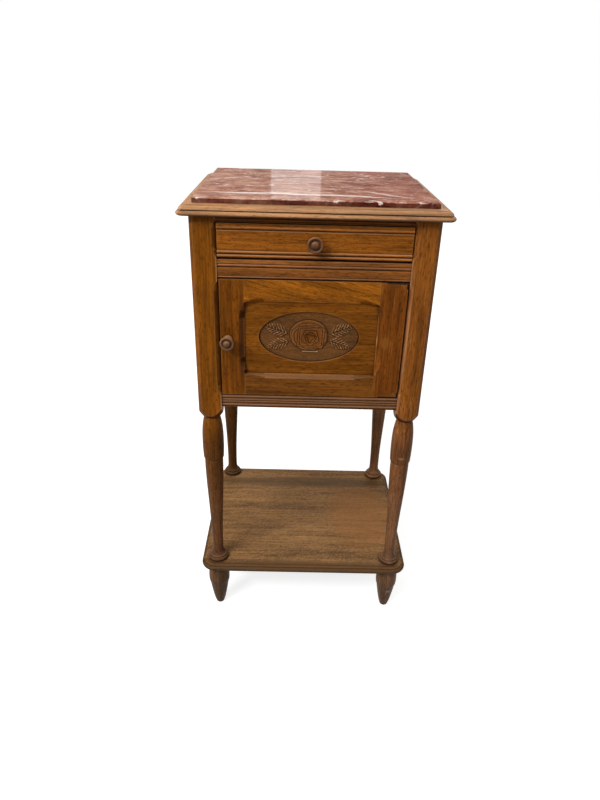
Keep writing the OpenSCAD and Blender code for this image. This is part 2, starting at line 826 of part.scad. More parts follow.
// right-hand runner: a plank between the rails, wider between the posts, where a rib
// guides the drawer's side
module drawer_runner() {
    rib_x = drawer_side_x + run_gap;
    wide_x = side_rail_x - rail_t / 2;
    difference() {
        union() {
            block([runner_x, divider_back, drawer_open_z - runner_t],
                [open_x, inner_rail_y, drawer_open_z]);
            block([runner_x + 1, y_mid - between_y + 1, drawer_open_z - runner_t],
                [wide_x, inner_rail_y - 1 - run_gap, drawer_open_z]);
            block([rib_x, y_mid - between_y + 1, drawer_open_z - 1],
                [wide_x, inner_rail_y - 1 - run_gap, drawer_open_z + 12]);
            intersection() {
                runner_tongues();
                block([0, post_front, case_z], [case_w, post_back, frame_under]);
            }
        }
        dust_groove();
    }
}

module drawer_runner_left() { color(PLAIN_OAK) on_side(-1) drawer_runner(); }
module drawer_runner_right() { color(PLAIN_OAK) on_side(1) drawer_runner(); }

// right-hand kicker, which keeps the open drawer from tipping
module drawer_kicker() {
    block([runner_x, face_y + upper_rail_d, drawer_open_top],
        [open_x, back_face_y - rail_t, frame_under]);
    intersection() {
        kicker_tongues();
        block([0, post_front, case_z], [case_w, post_back, frame_under]);
    }
}

module drawer_kicker_left() { color(PLAIN_OAK) on_side(-1) drawer_kicker(); }
module drawer_kicker_right() { color(PLAIN_OAK) on_side(1) drawer_kicker(); }

// two blocks on the divider that the drawer's front shuts against
module drawer_stops() {
    size = [30, 12, 5];
    lo = [open_x / 2, drawer_back_face + run_gap, drawer_open_z];
    color(PLAIN_OAK) both_sides() block(lo, lo + size);
}

module door_stop_strip() {
    color(PLAIN_OAK) block([-open_x, stop_y, door_open_z], [-open_x + stop_w, stop_y + stop_d,
        door_open_top]);
}

// ---- drawer ------------------------------------------------------------------------

// tails at the front and back ends of the drawer's right side, seen as [y, z] outlines
module tails(y_root, y_tip, g = 0) {
    count = 3;
    pitch = (drawer_side_z + drawer_side_h - drawer_front_z - 3) / count;
    narrow = pitch * 0.27;
    wide = pitch * 0.4;
    both_sides() for (i = [0:count - 1]) {
        z = drawer_front_z + 2 + pitch * (i + 0.5);
        along_x(drawer_side_x - drawer_side_t - g, drawer_side_x + g) polygon([
            [y_root, z - narrow - g], [y_tip, z - wide - g], [y_tip, z + wide + g],
            [y_root, z + narrow + g]
        ]);
    }
}

module front_tails(g = 0) { tails(drawer_back_face + g, drawer_back_face - tail_l - g, g); }
module back_tails(g = 0) { tails(drawer_end - drawer_back_t - g, drawer_end + g, g); }

// the drawer's bottom, held in grooves in front and sides, and passing under the back
module drawer_bottom_space(g = 0) {
    block([-drawer_side_x + drawer_side_t - 5, drawer_back_face - 6, drawer_bottom_z],
        [drawer_side_x - drawer_side_t + 5, drawer_end - 1, drawer_bottom_z + thin_t], g);
}

module drawer_front() {
    z = drawer_front_z;
    top = drawer_front_top;
    top_bead = 3;
    color(OAK) difference() {
        along_x(-open_x + drawer_gap, open_x - drawer_gap) polygon(concat(
            [[drawer_back_face, z]],
            arc(face_y + 2.8, z + 2.8, 2.8, 270, 90, 8),
            [[face_y + 3, z + 5.6], [face_y + 3, z + 6.2]],
            arc(face_y + 2.7, z + 8.9, 2.7, 270, 90, 8),
            [[face_y + 2.9, z + 11.6], [face_y + drawer_field, z + 12.1],
             [face_y + drawer_field, top - 12.2], [face_y + 3, top - 10.4]],
            arc(face_y + top_bead, top - 7.2, top_bead, 270, 132, 8),
            [[face_y + 1, top - 0.8], [face_y + 1.8, top], [drawer_back_face, top]]
        ));
        front_tails(glue_gap);
        drawer_bottom_space(panel_gap);
        translate([0, face_y - 1, drawer_knob_z]) rotate([-90, 0, 0])
            cylinder(r = knob_dowel_r + glue_gap, h = knob_dowel_l + 1.5);
    }
}

module drawer_side() {
    difference() {
        union() {
            block([drawer_side_x - drawer_side_t, drawer_back_face, drawer_side_z],
                [drawer_side_x, drawer_end - drawer_back_t, drawer_side_z + drawer_side_h]);
            block([drawer_side_x - drawer_side_t, drawer_back_face, drawer_side_z],
                [drawer_side_x, drawer_end, drawer_bottom_z + thin_t]);
            intersection() {
                union() {
                    front_tails();
                    back_tails();
                }
                block([0, post_front, case_z], [case_w, post_back, frame_under]);
            }
        }
        drawer_bottom_space(panel_gap);
    }
}

module drawer_side_left() { color(PLAIN_OAK) on_side(-1) drawer_side(); }
module drawer_side_right() { color(PLAIN_OAK) on_side(1) drawer_side(); }

module drawer_back() {
    color(PLAIN_OAK) difference() {
        block([-drawer_side_x, drawer_end - drawer_back_t, drawer_bottom_z + thin_t + panel_gap],
            [drawer_side_x, drawer_end, drawer_side_z + drawer_side_h - 2]);
        back_tails(glue_gap);
    }
}

module drawer_bottom() { color(PLAIN_OAK) drawer_bottom_space(); }

// half outline [r, reach] of a turned knob: base ring, neck, rim, sunk ring and button
function knob_outline(d, reach) = let (r = d / 2, rim = reach - 4.6) concat(
    [[0, 0], [0.68 * r, 0], [0.68 * r, 1.8], [0.6 * r, 2.8]],
    [for (i = [1:4]) let (t = i / 4) [0.6 * r - 0.14 * r * sin(90 * t), 2.8 + 3.4 * t]],
    [for (i = [1:4]) let (t = i / 4) [0.46 * r + 0.5 * r * ease(t), 6.2 + (rim - 9) * t]],
    arc(r - 2, rim - 0.8, 2, -30, 90, 7),
    [[r - 3.4, rim + 0.9], [r - 4.2, rim - 0.6], [0.5 * r, rim - 0.6], [0.48 * r, rim + 1.4]],
    [for (i = [1:5]) let (t = i / 5) [0.48 * r * cos(90 * t), rim + 1.4 + 3.2 * sin(90 * t)]]
);

// a knob that stands on the face at y, pointing to -Y
module knob(x, y, z, d) {
    translate([x, y, z]) rotate([90, 0, 0]) rotate_extrude()
        polygon(knob_outline(d, knob_reach));
}

module drawer_knob() {
    color("dimgray") {
        knob(0, face_y + drawer_field, drawer_knob_z, drawer_knob_d);
        translate([0, face_y, drawer_knob_z]) rotate([-90, 0, 0])
            cylinder(r = knob_dowel_r, h = knob_dowel_l);
    }
}

// ---- door --------------------------------------------------------------------------

// tenons of the door's rails in its stiles
module door_tenons(g = 0) {
    for (z = [[door_z + 8, sight_z - 12], [sight_top + 12, door_top - 8]])
        block([sight_left - door_tenon_l, door_back_y - 13, z[0]],
            [sight_right + door_tenon_l, door_back_y - 5, z[1]], g);
}

module door_panel_space(g = 0) {
    block([sight_left - panel_in, panel_y, sight_z - panel_in],
        [sight_right + panel_in, panel_y + panel_t, sight_top + panel_in], g);
}

// stopped chamfers round the sight of the panel, on all four inner front edges; the upper
// ones are wide and start in the corners, the lower one is as narrow as those of the posts
module sight_chamfers() {
    deep = panel_set - 1.5;
    in_x = 8;
    h = sight_top - sight_z;
    w = sight_right - sight_left;
    for (side = [[sight_right, 0], [sight_left, 1]])
        translate([side[0], face_y, sight_z]) mirror([side[1], 0, 0])
            stopped_chamfer(h, 10, deep, 30);
    translate([sight_left, face_y, sight_top]) rotate([90, 0, 90])
        stopped_chamfer(w, deep, 11, 32);
    translate([sight_left + in_x, face_y, sight_z]) rotate([90, 0, 90]) mirror([0, 1, 0])
        stopped_chamfer(w - 2 * in_x, deep, stop_chamfer + 0.5, 26);
}

module door_frame_cuts() {
    door_panel_space(panel_gap);
    sight_chamfers();
}

module stile_edges(x0, x1) {
    block([x0, face_y, door_z], [x1, door_back_y, door_top]);
}

module door_knob_stile() {
    color(OAK) difference() {
        stile_edges(-door_x, sight_left);
        door_tenons(glue_gap);
        door_frame_cuts();
        translate([latch_x, face_y - 1, latch_z]) rotate([-90, 0, 0])
            cylinder(r = spindle_r + bore_gap, h = rail_t + 2);
    }
}

module door_pivot_stile() {
    color(OAK) difference() {
        stile_edges(sight_right, door_x);
        door_tenons(glue_gap);
        door_frame_cuts();
        door_plates(glue_gap);
        for (z = [door_z, door_top - pivot_pin_l])
            translate([pivot_x, pivot_y, z]) cylinder(r = pivot_r + 0.8, h = pivot_pin_l);
    }
}

module door_rail(z0, z1) {
    difference() {
        union() {
            block([sight_left, face_y, z0], [sight_right, door_back_y, z1]);
            intersection() {
                door_tenons();
                block([-case_w, face_y, z0], [case_w, door_back_y, z1]);
            }
        }
        door_frame_cuts();
    }
}

module door_top_rail() { color(OAK) door_rail(sight_top, door_top); }
module door_bottom_rail() { color(OAK) door_rail(door_z, sight_z); }

module door_panel() {
    color(OAK) difference() {
        door_panel_space();
        translate([oval_x, panel_y + oval_sink, oval_z]) rotate([90, 0, 0])
            linear_extrude(oval_sink + 1)
                polygon([for (i = [0:71]) [oval_a * cos(5 * i), oval_b * sin(5 * i)]]);
    }
}

// ---- latch: the tongue hangs at rest and turns up behind the stop strip --------------

module door_knob() {
    color("dimgray") difference() {
        knob(latch_x, face_y - run_gap, latch_z, door_knob_d);
        translate([latch_x, face_y - spindle_in - 0.5, latch_z]) rotate([-90, 0, 0])
            cylinder(r = spindle_r + bore_gap, h = spindle_in + 1.5);
    }
}

// round spindle through the stile, squared where it carries the tongue
module door_spindle() {
    color("darkgoldenrod") translate([latch_x, 0, latch_z]) {
        translate([0, face_y - spindle_in, 0]) rotate([-90, 0, 0])
            cylinder(r = spindle_r, h = tongue_y - face_y + spindle_in);
        block([-2, tongue_y - 1, -2], [2, tongue_y + tongue_t + 1, 2]);
        translate([0, tongue_y + tongue_t, 0]) rotate([-90, 0, 0]) cylinder(r = 4, h = 1.5);
    }
}

module latch_tongue() {
    color("darkgoldenrod") translate([latch_x, tongue_y + tongue_t, latch_z])
        rotate([90, 0, 0]) linear_extrude(tongue_t) difference() {
            union() {
                translate([-tongue_w / 2, tongue_w / 2 - tongue_reach])
                    square([tongue_w, tongue_reach - tongue_w / 2]);
                circle(d = tongue_w + 1);
                translate([0, tongue_w / 2 - tongue_reach]) circle(d = tongue_w);
            }
            square(4 + 2 * glue_gap, center = true);
        }
}

// ---- pivots ------------------------------------------------------------------------

// L-shaped plates let into the top and foot of the pivot stile, with a lip down its edge
module door_plates(g = 0) {
    for (up = [0, 1]) {
        z = up > 0 ? door_top - pivot_plate_t : door_z;
        lip_z = up > 0 ? door_top - pivot_lip : door_z;
        block([door_x - pivot_plate_l, face_y, z],
            [door_x, face_y + pivot_plate_w, z + pivot_plate_t], g);
        block([door_x - pivot_plate_t, face_y, lip_z],
            [door_x, face_y + pivot_plate_w, lip_z + pivot_lip], g);
    }
}

module door_pivots() {
    color("gray") difference() {
        door_plates();
        for (z = [door_z - 1, door_top - pivot_plate_t - 1])
            translate([pivot_x, pivot_y, z])
                cylinder(r = pivot_r + bore_gap, h = pivot_plate_t + 2);
    }
}

// plates let into the rails above and below the door
module case_plates(g = 0) {
    for (z = [door_open_z - pivot_plate_t, door_open_top])
        block([door_x - pivot_plate_l, face_y + 2.4, z],
            [door_x, face_y + pivot_plate_w, z + pivot_plate_t], g);
}

module case_pivots() {
    color("gray") {
        case_plates();
        translate([pivot_x, pivot_y, door_open_z - 1]) cylinder(r = pivot_r, h = pivot_pin_l);
        translate([pivot_x, pivot_y, door_open_top + 1 - pivot_pin_l])
            cylinder(r = pivot_r, h = pivot_pin_l);
    }
}

marble_slab();
top_rail_front();
top_rail_left();
top_rail_right();
top_rail_back();
post_front_left();
post_front_right();
post_back_left();
post_back_right();
shelf();
foot_front_left();
foot_front_right();
foot_back_left();
foot_back_right();
upper_front_rail();
middle_front_rail();
bottom_front_rail();
back_top_rail();
back_middle_rail();
back_bottom_rail();
back_panel();
side_top_rail_left();
side_top_rail_right();
side_bottom_rail_left();
side_bottom_rail_right();
side_panel_left();
side_panel_right();
cupboard_floor();
dust_board();
drawer_runner_left();
drawer_runner_right();
drawer_kicker_left();
drawer_kicker_right();
drawer_stops();
door_stop_strip();
drawer_front();
drawer_side_left();
drawer_side_right();
drawer_back();
drawer_bottom();
drawer_knob();
door_knob_stile();
door_pivot_stile();
door_top_rail();
door_bottom_rail();
door_panel();
door_knob();
door_spindle();
latch_tongue();
door_pivots();
case_pivots();
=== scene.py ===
import json
import math

import bmesh
import bpy
import numpy as np
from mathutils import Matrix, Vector


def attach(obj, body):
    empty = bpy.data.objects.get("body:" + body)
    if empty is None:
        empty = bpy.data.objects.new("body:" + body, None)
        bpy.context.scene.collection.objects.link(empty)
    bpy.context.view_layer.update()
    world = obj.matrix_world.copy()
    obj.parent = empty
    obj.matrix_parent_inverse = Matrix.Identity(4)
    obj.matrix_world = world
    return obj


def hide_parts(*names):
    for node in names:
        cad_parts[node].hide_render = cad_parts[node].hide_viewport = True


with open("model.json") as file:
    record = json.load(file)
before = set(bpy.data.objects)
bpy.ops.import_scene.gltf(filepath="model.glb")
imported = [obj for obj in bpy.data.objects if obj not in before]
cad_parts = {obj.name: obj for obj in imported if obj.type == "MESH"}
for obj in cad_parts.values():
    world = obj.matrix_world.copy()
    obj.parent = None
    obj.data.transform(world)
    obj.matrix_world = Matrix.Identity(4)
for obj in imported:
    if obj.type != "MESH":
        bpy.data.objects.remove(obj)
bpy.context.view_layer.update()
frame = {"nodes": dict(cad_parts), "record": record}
MM = 0.001


# ---- camera ------------------------------------------------------------------------

EYE = (-28.07 * MM, -1124.09 * MM, 999.09 * MM)
# down from level, to the right, and with its right side lifted
PITCH, YAW, ROLL = (math.radians(degrees) for degrees in (27.64, 0.69, 1.61))
LENS_MM = 28.08
FILM_MM = 36


def set_up_camera():
    """The camera at its eye, turned by its three angles."""
    ahead = Vector((math.sin(YAW) * math.cos(PITCH), math.cos(YAW) * math.cos(PITCH), -math.sin(PITCH)))
    level = Vector((math.cos(YAW), -math.sin(YAW), 0))
    above = level.cross(ahead)
    right = math.cos(ROLL) * level + math.sin(ROLL) * above
    up = right.cross(ahead)
    data = bpy.data.cameras.new("camera")
    data.lens = LENS_MM
    data.sensor_width = FILM_MM
    camera = bpy.data.objects.new("camera", data)
    bpy.context.scene.collection.objects.link(camera)
    for row in range(3):
        camera.matrix_world[row][:] = (right[row], up[row], -ahead[row], EYE[row])
    bpy.context.scene.camera = camera


set_up_camera()


# ---- nodes of a material -------------------------------------------------------------

# A colour Mix has its share and the colours under and over in these sockets, its result in
# this output, and lays one colour on the other in one of two ways.
SHARE, UNDER, OVER, RESULT = 0, 6, 7, 2
LAID = {"data_type": "RGBA"}
DARKENED = {"data_type": "RGBA", "blend_type": "MULTIPLY"}
WHITE = (1, 1, 1, 1)


def linear(code):
    """The scene colour of an sRGB hex value."""
    parts = [int(code[i : i + 2], 16) / 255 for i in (0, 2, 4)]
    return [p / 12.92 if p < 0.04045 else ((p + 0.055) / 1.055) ** 2.4 for p in parts] + [1]


def shade(colour, share):
    """The colour made darker or lighter."""
    return [part * share for part in colour[:3]] + [1]


def add(tree, kind, settings=(), links=()):
    """One node with its settings, by attribute, socket or colour stops, and its links. A link
    from a node is from its main output. Math values and mixed shaders go by socket number,
    because their sockets share one name."""
    made = tree.nodes.new("ShaderNode" + kind)
    for key, value in dict(settings).items():
        if key == "stops":
            ramp = made.color_ramp.elements
            while len(ramp) < len(value):
                ramp.new(0.5)
            for stop, (place, colour) in zip(ramp, value):
                stop.position, stop.color = place, colour
        elif isinstance(key, str) and hasattr(made, key):
            setattr(made, key, value)
        else:
            made.inputs[key].default_value = value
    for key, source in dict(links).items():
        if isinstance(source, bpy.types.Node):
            source = source.outputs[RESULT if source.type == "MIX" else 0]
        tree.links.new(source, made.inputs[key])
    return made


def start_material(name):
    """An empty material and its node tree."""
    made = bpy.data.materials.new(name)
    made.use_nodes = True
    made.node_tree.nodes.clear()
    return made, made.node_tree


def spots(tree, place, grain, raggedness, edge, marks, colour):
    """Local stains, veins, chips, painted highlights and painted shade: middle in mm, turn in
    degrees, reach in mm, tone and strength. Each fades across edge, and the grain tears its
    outline by raggedness."""
    for middle, turned, reach, tone, strength in marks:
        spot = add(
            tree,
            "Mapping",
            {
                "vector_type": "TEXTURE",
                "Location": [part * MM for part in middle],
                "Rotation": (0, 0, math.radians(turned)),
                "Scale": [part * MM for part in reach],
            },
            {"Vector": place},
        )
        ball = add(tree, "TexGradient", {"gradient_type": "SPHERICAL"}, {"Vector": spot})
        torn = add(
            tree,
            "Math",
            {"operation": "MULTIPLY_ADD", 1: raggedness},
            {0: grain, 2: ball.outputs["Fac"]},
        )
        there = add(
            tree,
            "MapRange",
            {"From Min": edge[0], "From Max": edge[1], "To Max": strength},
            {"Value": torn},
        )
        colour = add(tree, "Mix", {**LAID, OVER: linear(tone)}, {SHARE: there, UNDER: colour})
    return colour


# ---- oak -----------------------------------------------------------------------------

# how the pattern turns for wood that runs along each axis
TURN = {"X": (0, 0, 0), "Y": (0, 0, math.pi / 2), "Z": (0, -math.pi / 2, 0)}
FIGURE = (
    # pattern, length and width in mm, detail, distortion
    ("figure", 260, 15, 3, 0.9),
    ("streak", 60, 2.6, 4, 0.5),
    ("pore", 10, 1.5, 2, 0.3),
    ("ray", 9, 2.6, 2, 1.6),
    ("cloud", 110, 60, 3, 0.4),
)
# ray flecks lie across the other patterns at a slant
RAY_SLANT = (0, math.radians(24), 0.4)
# metres from the pattern of one board to that of the next
BOARD_STEP = (0.173, 0.311, 0.097)
# how far either side of its middle the summed noise reaches the darkest and lightest wood
GRAIN_SPREAD = 0.34
# the darkest and lightest wood as shares of a board's tone, and a pore as one of the darkest
DARK_WOOD, LIGHT_WOOD, PORE_WOOD = 0.52, 1.6, 0.45
PORE_DEPTH = 0.1 * MM
# how near its edge an arris is rubbed, and how near a wall a quirk keeps its wax and
# painted shade
RUBBED_REACH = 3 * MM
QUIRK_REACH = 7 * MM
# few, because they fall at random and the render evens them out
NEARNESS_SAMPLES = 4
# laid over the wood: painted shade where it faces down, old wax and painted shade in the
# quirks, the rose's tone, and grime and painted shade in the cuts round it
SHADED = "6e5a4c"
OLD_WAX_AND_SHADE = "2c1205"
ROSE_TONE = "6f3f12"
CUT_GRIME_AND_SHADE = "1a0c04"


def oak(
    name,
    tone,
    along,
    board,
    tilt=0,
    rays=0.0,
    pores=0.6,
    contrast=1.0,
    wax_and_shade=0.8,
    rub=0.3,
    rubbed="a8713c",
    dust=0.35,
    dust_and_highlight_tone="b08560",
    below=0.85,
    sheen=0.05,
    rough=0.42,
    alone=True,
    dull=(),
    marks=(),
    carved=False,
):
    """Old oak under wax: broad soft figure, fine streaks, short open pores drawn two to three
    times as coarse as real ones so that they show, dark wax and painted shade in the quirks,
    arrises rubbed pale, a little dust and a painted highlight on whatever faces up, and painted
    shade where it faces down, as set by below. alone keeps the dark wax and painted shade of a
    piece from gathering where it meets its neighbours. Each row of dull is a tone that comes in
    from the second height in mm down to the first."""
    made, tree = start_material(name)
    place = add(tree, "TexCoord").outputs["Object"]
    turn = (TURN[along][0], TURN[along][1] + math.radians(tilt), TURN[along][2])
    grain = {}
    for pattern, length, width, detail, bend in FIGURE:
        slanted = [part + slant for part, slant in zip(turn, RAY_SLANT)]
        fibres = add(
            tree,
            "Mapping",
            {
                "vector_type": "TEXTURE",
                "Location": [step * board for step in BOARD_STEP],
                "Rotation": slanted if pattern == "ray" else turn,
                "Scale": (length * MM, width * MM, width * MM),
            },
            {"Vector": place},
        )
        noise = {"Scale": 1, "Detail": detail, "Distortion": bend}
        grain[pattern] = add(tree, "TexNoise", noise, {"Vector": fibres})
    summed = add(tree, "Math", {"operation": "ADD"}, {0: grain["streak"], 1: grain["figure"]})
    spread = add(
        tree,
        "MapRange",
        {"From Min": 1 - GRAIN_SPREAD / contrast, "From Max": 1 + GRAIN_SPREAD / contrast},
        {"Value": summed},
    )
    middle = linear(tone)
    dark, light = shade(middle, DARK_WOOD), shade(middle, LIGHT_WOOD)
    stops = ((0.02, dark), (0.45, middle), (0.98, light))
    colour = add(tree, "ValToRGB", {"stops": stops}, {"Fac": spread})
    # patches a few centimetres across where the wax is thicker
    patch = add(
        tree,
        "MapRange",
        {"From Min": 0.3, "From Max": 0.7, "To Min": 0.82, "To Max": 1.2},
        {"Value": grain["cloud"]},
    )
    colour = add(tree, "HueSaturation", {}, {"Value": patch, "Color": colour})
    # silvery ray fleck, with darker wood beside it
    for fleck_tone, low, high in ((light, 0.55, 0.63), (dark, 0.45, 0.37)) if rays else ():
        fleck = add(
            tree, "MapRange", {"From Min": low, "From Max": high, "To Max": rays}, {"Value": grain["ray"]}
        )
        colour = add(tree, "Mix", {**LAID, OVER: fleck_tone}, {SHARE: fleck, UNDER: colour})
    pore = add(
        tree, "MapRange", {"From Min": 0.53, "From Max": 0.66, "To Max": pores}, {"Value": grain["pore"]}
    )
    colour = add(tree, "Mix", {**LAID, OVER: shade(dark, PORE_WOOD)}, {SHARE: pore, UNDER: colour})
    # the tone changes with height, each row of dull laying its tone under a given height
    height = add(tree, "SeparateXYZ", {}, {"Vector": place}).outputs["Z"]
    for low, high, grey, share in dull:
        lower = add(
            tree,
            "MapRange",
            {"From Min": high * MM, "From Max": low * MM, "To Max": share},
            {"Value": height},
        )
        change = [after / before for after, before in zip(linear(grey), middle)]
        colour = add(tree, "Mix", {**DARKENED, OVER: change}, {SHARE: lower, UNDER: colour})
        middle = [before * (1 - share) + after * share for after, before in zip(linear(grey), middle)]
    # stains, worn places, painted highlights and painted shade, with ragged edges along the grain
    colour = spots(tree, place, grain["streak"], 1.2, (0.75, 1.1), marks, colour)
    # dust and a painted highlight where it faces up, painted shade where it faces down
    normal = add(tree, "NewGeometry").outputs["Normal"]
    upward = add(tree, "SeparateXYZ", {}, {"Vector": normal}).outputs["Z"]
    dust_and_painted_highlight = add(tree, "MapRange", {"From Min": 0.12, "From Max": 0.62, "To Max": dust}, {"Value": upward})
    colour = add(tree, "Mix", {**LAID, OVER: linear(dust_and_highlight_tone)}, {SHARE: dust_and_painted_highlight, UNDER: colour})
    painted_underside_shade = add(tree, "MapRange", {"From Min": 0.05, "From Max": -0.6, "To Max": below}, {"Value": upward})
    colour = add(tree, "Mix", {**DARKENED, OVER: linear(SHADED)}, {SHARE: painted_underside_shade, UNDER: colour})
    # arrises where hands and cloths have rubbed the stain away
    edge = add(
        tree,
        "AmbientOcclusion",
        {"samples": NEARNESS_SAMPLES, "only_local": True, "inside": True, "Distance": RUBBED_REACH},
    ).outputs["AO"]
    thin = add(tree, "MapRange", {"From Min": 0.86, "From Max": 0.42, "To Max": rub}, {"Value": edge})
    thin = add(tree, "Math", {"operation": "MULTIPLY"}, {0: thin, 1: patch})
    colour = add(tree, "Mix", {**LAID, OVER: linear(rubbed)}, {SHARE: thin, UNDER: colour})
    if carved:
        # ridges left by the gouge, rubbed paler than the ground, and the dark cuts between, grime
        # and painted shade
        for layer, layer_tone, share in (
            ("rose", ROSE_TONE, 0.85),
            ("rubbed", rubbed, 0.95),
            ("cut", CUT_GRIME_AND_SHADE, 0.9),
        ):
            there = add(tree, "Attribute", {"attribute_name": layer}).outputs["Fac"]
            worn = add(tree, "Math", {"operation": "MULTIPLY_ADD", 1: 0.7}, {0: grain["pore"], 2: there})
            strong = add(
                tree, "MapRange", {"From Min": 0.45, "From Max": 1.25, "To Max": share}, {"Value": worn}
            )
            colour = add(tree, "Mix", {**LAID, OVER: linear(layer_tone)}, {SHARE: strong, UNDER: colour})
    # old wax and dust that cloths never reach, and painted shade, in the quirks and inner corners
    shut_in = add(
        tree,
        "AmbientOcclusion",
        {"samples": NEARNESS_SAMPLES, "only_local": alone, "Distance": QUIRK_REACH},
    ).outputs["AO"]
    wax_and_painted_shade = add(tree, "MapRange", {"From Min": 0.93, "From Max": 0.35, "To Max": wax_and_shade}, {"Value": shut_in})
    colour = add(tree, "Mix", {**LAID, OVER: linear(OLD_WAX_AND_SHADE)}, {SHARE: wax_and_painted_shade, UNDER: colour})
    # the wax shines a little less in some patches and in the pores, which are sunk
    gloss = add(
        tree,
        "MapRange",
        {"From Min": 0.3, "From Max": 0.7, "To Min": rough - 0.06, "To Max": rough + 0.1},
        {"Value": grain["cloud"]},
    )
    gloss = add(tree, "Math", {"operation": "MULTIPLY_ADD", 1: 0.2}, {0: pore, 2: gloss})
    relief = add(tree, "Math", {"operation": "MULTIPLY_ADD", 1: -1.6}, {0: pore, 2: grain["streak"]})
    bump = add(tree, "Bump", {"Strength": 0.5, "Distance": PORE_DEPTH}, {"Height": relief})
    shader = add(
        tree,
        "BsdfPrincipled",
        {"Specular IOR Level": sheen},
        {"Base Color": colour, "Roughness": gloss, "Normal": bump},
    )
    add(tree, "OutputMaterial", {}, {"Surface": shader})
    return made


# ---- marble --------------------------------------------------------------------------

MARBLE_TONES = ((0.33, "5a2a1d"), (0.43, "8c523d"), (0.52, "ab735a"), (0.6, "bc8a73"), (0.7, "d4b09a"))
BROKEN_VEINS = (
    # waves to a metre, turn in radians, width as a part of the noise, strength, tone
    (6.5, 0.3, 0.006, 0.75, "e6d0c4"),
    (14, -0.6, 0.009, 0.6, "d9b8a8"),
    (30, 0.9, 0.016, 0.45, "d2ab98"),
)
LONG_VEINS = (
    # the long double vein near the front and the vein across the right corner
    ((-62, -87, 845), -1, (190, 13, 60), "ecd9cf", 0.95),
    ((58, -92, 845), -6, (160, 11, 60), "ecd9cf", 0.9),
    ((128, -70, 845), -35, (110, 10, 60), "dcbfb1", 0.85),
)
CHIPS = (
    # pale chips and worn places of the front arris, and a dark one of the back arris
    ((-180, -153, 830), 0, (5, 9, 4), "dcc3b6", 0.8),
    ((-95, -153, 831), 0, (4, 9, 4), "d0ab9b", 0.8),
    ((-40, -153, 831), 0, (26, 6, 3), "d9bcae", 0.7),
    ((31, -151, 830), 35, (16, 4, 5), "e2cdc2", 0.8),
    ((93, -149, 829), -40, (22, 4, 6), "e6d3c9", 0.85),
    ((158, -153, 831), 0, (4, 9, 4), "e0cabf", 0.8),
    ((-27, 161, 829), 0, (9, 8, 7), "4a2a20", 0.9),
)
REDDER, SPECK, PIT, SAWN_EDGE = "e0b9aa", "d3a284", "4a2015", "95807a"


